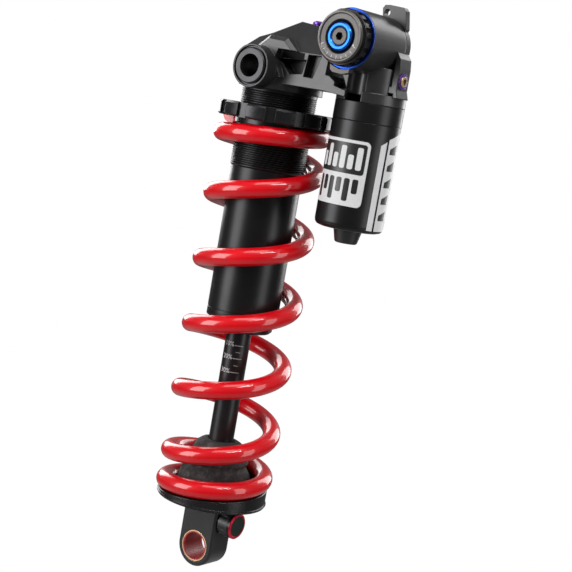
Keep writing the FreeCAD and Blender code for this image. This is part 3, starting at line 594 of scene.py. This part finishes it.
def inkPatch(name, angles, heights, radius, material, centre=0, corner=0, slant=0, lift=ink["lift"]):
    low, high = (math.radians(angle) for angle in angles)
    width, height = (high - low) * radius, heights[1] - heights[0]
    bpy.ops.mesh.primitive_plane_add(size=1, location=(0, 0, 0), rotation=(math.pi / 2, 0, 0))
    patch = bpy.context.object
    patch.name = name
    patch.scale = (width, height, 1)
    applyPlace(patch)
    for vertex in patch.data.vertices:
        vertex.co.x += width / 2
        vertex.co.z += height / 2
        if slant and vertex.co.z > height / 2:
            vertex.co.z += slant * (vertex.co.x / width - 1)
    pick(patch)
    bpy.ops.object.mode_set(mode="EDIT")
    if corner:
        bpy.ops.mesh.select_all(action="SELECT")
        bpy.ops.mesh.bevel(offset=corner, segments=ink["cornerSteps"], affect="VERTICES")
    cuts = max(1, int((angles[1] - angles[0]) / ink["cutDegrees"]))
    for i in range(1, cuts):
        bpy.ops.mesh.select_all(action="SELECT")
        bpy.ops.mesh.bisect(plane_co=(width * i / cuts, 0, 0), plane_no=(1, 0, 0))
    bpy.ops.object.mode_set(mode="OBJECT")
    for vertex in patch.data.vertices:
        vertex.co = wrapPoint(vertex.co.x, heights[0] + vertex.co.z, low, radius, centre, lift)
    applyModifier(patch, "SOLIDIFY", thickness=ink["thick"], offset=-1)
    outwardFaces(patch)
    give(patch, material)
    return patch


def wrappedText(words, size, angle, z, radius, material):
    bpy.ops.object.text_add(location=(0, 0, 0))
    text = bpy.context.object
    text.data.body = words
    text.data.size = size
    text.data.align_x = "CENTER"
    text.data.align_y = "CENTER"
    text.data.resolution_u = 3
    bpy.ops.object.convert(target="MESH")
    for vertex in text.data.vertices:
        vertex.co = wrapPoint(vertex.co.x, z + vertex.co.y, math.radians(angle), radius)
    applyModifier(text, "SOLIDIFY", thickness=ink["letterThick"], offset=-1)
    outwardFaces(text)
    give(text, material)
    return text


# reservoir label: a pale field, a dark window in it, and two rows of level bars

label = {
    "left": -158, "right": -44, "bottom": 176.4 * mm, "top": 205.4 * mm, "split": 190.6 * mm,
    "border": 1.35 * mm, "corner": 2.2 * mm, "windowCorner": 1.21 * mm,
    "bars": 6, "firstBar": -134, "barStep": 14, "barWide": 9.5, "barTall": 10 * mm, "barShort": 6.4 * mm,
    "barGap": 2 * mm, "barCorner": 0.8 * mm,
    "fieldLift": 0.06 * mm, "overLift": 0.1 * mm, "topLift": 0.14 * mm,
}
stripe = {
    "bottom": 1.6 * mm,                                         # above the tube's end
    "narrow": (-27.3, -16.2), "narrowTop": 206.9 * mm, "narrowSlant": 2 * mm,
    "wide": (-12.2, 26), "wideTop": 212.4 * mm, "wideSlant": 4.4 * mm,
    "dashes": 5, "dash": (-7, 13), "firstDash": 172 * mm, "dashStep": 7.4 * mm, "dashTall": 4.6 * mm,
    "dashSlant": 2.2 * mm,
}


def onReservoir(name, angles, low, high, material, lift, corner=0, slant=0):
    return inkPatch(name, angles, (low, high), resRadius, material, resX, corner, slant, lift)


def reservoirLabel():
    border = math.degrees(label["border"] / resRadius)
    field = onReservoir("labelField", (label["left"], label["right"]), label["bottom"], label["top"],
                        whiteInk, label["fieldLift"], label["corner"])
    window = onReservoir("labelDarkField", (label["left"] + border, label["right"] - border), label["split"],
                         label["top"] - label["border"], blackInk, label["overLift"], label["windowCorner"])
    bars = []
    above, below = label["split"] + label["barGap"], label["split"] - label["barGap"]
    for i in range(label["bars"]):
        at = label["firstBar"] + i * label["barStep"]
        angles = (at, at + label["barWide"])
        up, down = (label["barTall"], label["barShort"]) if i % 2 else (label["barShort"], label["barTall"])
        bars.append(onReservoir("bar", angles, above, above + up, whiteInk, label["topLift"],
                                label["barCorner"]))
        bars.append(onReservoir("bar", angles, below - down, below, blackInk, label["overLift"],
                                label["barCorner"]))
    return [field, window, joined("labelBars", bars)]


def reservoirStripes():
    bottom = resBottom + stripe["bottom"]
    stripes = [onReservoir("stripe", stripe[kind], bottom, stripe[kind + "Top"], whiteInk, label["fieldLift"],
                           slant=stripe[kind + "Slant"]) for kind in ("narrow", "wide")]
    for i in range(stripe["dashes"]):
        low = stripe["firstDash"] + i * stripe["dashStep"]
        stripes.append(onReservoir("dash", stripe["dash"], low, low + stripe["dashTall"], blackInk,
                                   label["overLift"], slant=stripe["dashSlant"]))
    return joined("reservoirStripes", stripes)


for piece in reservoirLabel() + [reservoirStripes()]:
    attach(piece, "damper")

# sag scale on the shaft

sagScale = {
    "longMarks": (100, 93.7, 87), "shortMarks": (96.8, 90.3), "numerals": ("10", "20", "30"),    # heights, mm
    "longAngles": (-64, -24), "longHalf": 0.16, "shortAngles": (-55, -34), "shortHalf": 0.12,
    "numeralSize": 3.1 * mm, "numeralAngle": -92, "numeralRise": 0.4,
}


def sagMarks():
    marks = []
    for kind in ("long", "short"):
        half = sagScale[kind + "Half"]
        for z in sagScale[kind + "Marks"]:
            marks.append(inkPatch("mark", sagScale[kind + "Angles"], ((z - half) * mm, (z + half) * mm),
                                  shaftRadius, scaleInk))
    for words, z in zip(sagScale["numerals"], sagScale["longMarks"]):
        marks.append(wrappedText(words + "%", sagScale["numeralSize"], sagScale["numeralAngle"],
                                 (z + sagScale["numeralRise"]) * mm, shaftRadius, whiteInk))
    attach(joined("sagScale", marks), "shaft")


sagMarks()
print("printed marks done")

# dial face, angles in degrees round its axis

dial = {
    "ticks": 9, "firstTick": 205, "lastTick": 335, "inner": 8.4 * mm, "outer": 10 * mm, "midLonger": 0.8 * mm,
    "tickWide": 0.22 * mm, "tickDeep": 0.06 * mm,
    "dotAt": -22, "dotReach": 8.1 * mm, "dotRadius": 0.45 * mm, "dotDeep": 0.08 * mm, "dotSides": 20,
    "faceDeep": 0.46 * mm,                                      # the marked face behind the dial's front
}


def onDial(mark, degrees, reach):
    turn = math.radians(degrees)
    mark.location = (valveX + reach * math.cos(turn), dialFace + dial["faceDeep"],
                     valveZ + reach * math.sin(turn))
    applyPlace(mark)
    give(mark, whiteInk)
    return mark


def dialMarks():
    marks = []
    for i in range(dial["ticks"]):
        degrees = dial["firstTick"] + (dial["lastTick"] - dial["firstTick"]) * i / (dial["ticks"] - 1)
        longer = dial["midLonger"] if i == dial["ticks"] // 2 else 0
        bpy.ops.mesh.primitive_cube_add(size=1)
        tick = bpy.context.object
        tick.scale = (dial["outer"] - dial["inner"] + longer, dial["tickDeep"], dial["tickWide"])
        tick.rotation_euler = (0, -math.radians(degrees), 0)
        marks.append(onDial(tick, degrees, (dial["outer"] + dial["inner"]) / 2))
    bpy.ops.mesh.primitive_cylinder_add(radius=dial["dotRadius"], depth=dial["dotDeep"],
                                        vertices=dial["dotSides"], rotation=(math.pi / 2, 0, 0))
    marks.append(onDial(bpy.context.object, dial["dotAt"], dial["dotReach"]))
    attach(joined("dialMarks", marks), "low_speed")


dialMarks()
print("dial done")

# bump stop

bumpStop = {
    "voxel": 0.55 * mm, "lumps": 2.2 * mm, "lumpDeep": 0.35 * mm, "lumpMiddle": 0.75,
    "headGap": 0.3 * mm,                                        # left under the seal head at full stroke
}


def makeBumpStop():
    pick(nodes["bump_stop"])
    bpy.ops.object.duplicate()
    stop = bpy.context.object
    stop.name = "bumpStop"
    stop.parent = None
    for key in list(stop.keys()):
        del stop[key]
    outwardFaces(stop)
    applyModifier(stop, "REMESH", mode="VOXEL", voxel_size=bumpStop["voxel"])
    texture = bpy.data.textures.new("foamLumps", "CLOUDS")
    texture.noise_scale = bumpStop["lumps"]
    applyModifier(stop, "DISPLACE", texture=texture, strength=bumpStop["lumpDeep"],
                  mid_level=bumpStop["lumpMiddle"])
    smooth(stop, 180)
    give(stop, foamGrey)
    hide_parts("bump_stop")
    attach(stop, "shaft")
    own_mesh(stop)


makeBumpStop()
print("bump stop done")

# camera, lights and stage

view = {
    "azimuth": 34.32, "elevation": 7.51, "roll": 9.9, "distance": 0.64262, "target": (0.02199, 0, 0.13299),
    "focal": 1381.48, "frame": 572,                             # focal length and picture width, in one unit
    "sensor": 36, "clipStart": 0.01,
}


def fromAngles(azimuth, elevation, distance):
    a, e = math.radians(azimuth), math.radians(elevation)
    return Vector((math.sin(a) * math.cos(e), -math.cos(a) * math.cos(e), math.sin(e))) * distance


def aimAt(obj, target, offset, roll=0):
    obj.location = target + offset
    obj.rotation_mode = "QUATERNION"
    aim = (target - obj.location).to_track_quat("-Z", "Y")
    obj.rotation_quaternion = aim @ Quaternion((0, 0, 1), math.radians(roll))
    bpy.context.scene.collection.objects.link(obj)


def makeCamera():
    data = bpy.data.cameras.new("camera")
    data.sensor_width = view["sensor"]
    data.lens = view["focal"] * data.sensor_width / view["frame"]
    data.clip_start = view["clipStart"]
    camera = bpy.data.objects.new("camera", data)
    aimAt(camera, Vector(view["target"]), fromAngles(view["azimuth"], view["elevation"], view["distance"]),
          view["roll"])
    bpy.context.scene.camera = camera


studio = {
    "floorZ": -0.42, "floorSize": 60, "paper": 0.35, "ambient": 0.19, "middle": (0.02, 0, 0.13),
    "boxes": {                     # azimuth from the camera, elevation, distance, width, height, watts
        "leftBox": (-66, 9, 0.9, 0.5, 0.75, 8.5),
        "rightBox": (56, 10, 0.9, 0.36, 1.0, 4.2),
        "topBox": (-10, 72, 0.9, 0.6, 0.5, 3.6),
        "backLeft": (-150, 22, 1.0, 0.45, 0.9, 6),
        "backRight": (140, 18, 1.0, 0.45, 0.9, 6),
        "highLeft": (14, 52, 0.9, 0.22, 0.05, 1.5),
        "highRight": (32, 52, 0.9, 0.16, 0.05, 1.4),
    },
}


def softBox(name, azimuth, elevation, distance, width, height, watts):
    data = bpy.data.lights.new(name, "AREA")
    data.shape = "RECTANGLE"
    data.size, data.size_y = width, height
    data.energy = watts
    light = bpy.data.objects.new(name, data)
    aimAt(light, Vector(studio["middle"]), fromAngles(view["azimuth"] + azimuth, elevation, distance))


def whiteWhenSeen(tree, lit, white, output):
    # seen straight on, floor and backdrop are the same white, so no horizon shows
    path = tree.nodes.new("ShaderNodeLightPath")
    mix = tree.nodes.new("ShaderNodeMixShader")
    tree.links.new(path.outputs["Is Camera Ray"], mix.inputs["Fac"])
    tree.links.new(lit, mix.inputs[1])
    tree.links.new(white, mix.inputs[2])
    tree.links.new(mix.outputs["Shader"], output.inputs["Surface"])


def makeFloor():
    bpy.ops.mesh.primitive_plane_add(size=studio["floorSize"], location=(0, 0, studio["floorZ"]))
    floor = bpy.context.object
    floor.name = "floor"
    paper, tree, shader = newMaterial("paleFloor", (studio["paper"],) * 3, rough=0.9, specular=0.1)
    white = tree.nodes.new("ShaderNodeEmission")
    whiteWhenSeen(tree, shader.outputs["BSDF"], white.outputs["Emission"], tree.nodes["Material Output"])
    give(floor, paper)


def makeBackdrop():
    world = bpy.data.worlds.new("studio")
    bpy.context.scene.world = world
    world.use_nodes = True
    tree = world.node_tree
    back = tree.nodes["Background"]
    back.inputs["Color"].default_value = (1, 1, 1, 1)
    back.inputs["Strength"].default_value = studio["ambient"]
    bright = tree.nodes.new("ShaderNodeBackground")
    bright.inputs["Color"].default_value = (1, 1, 1, 1)
    whiteWhenSeen(tree, back.outputs["Background"], bright.outputs["Background"], tree.nodes["World Output"])
    bpy.context.scene.view_settings.view_transform = "Standard"
    bpy.context.scene.view_settings.look = "None"


makeFloor()
makeBackdrop()
makeCamera()
for name, box in studio["boxes"].items():
    softBox(name, *box)
print("studio done")
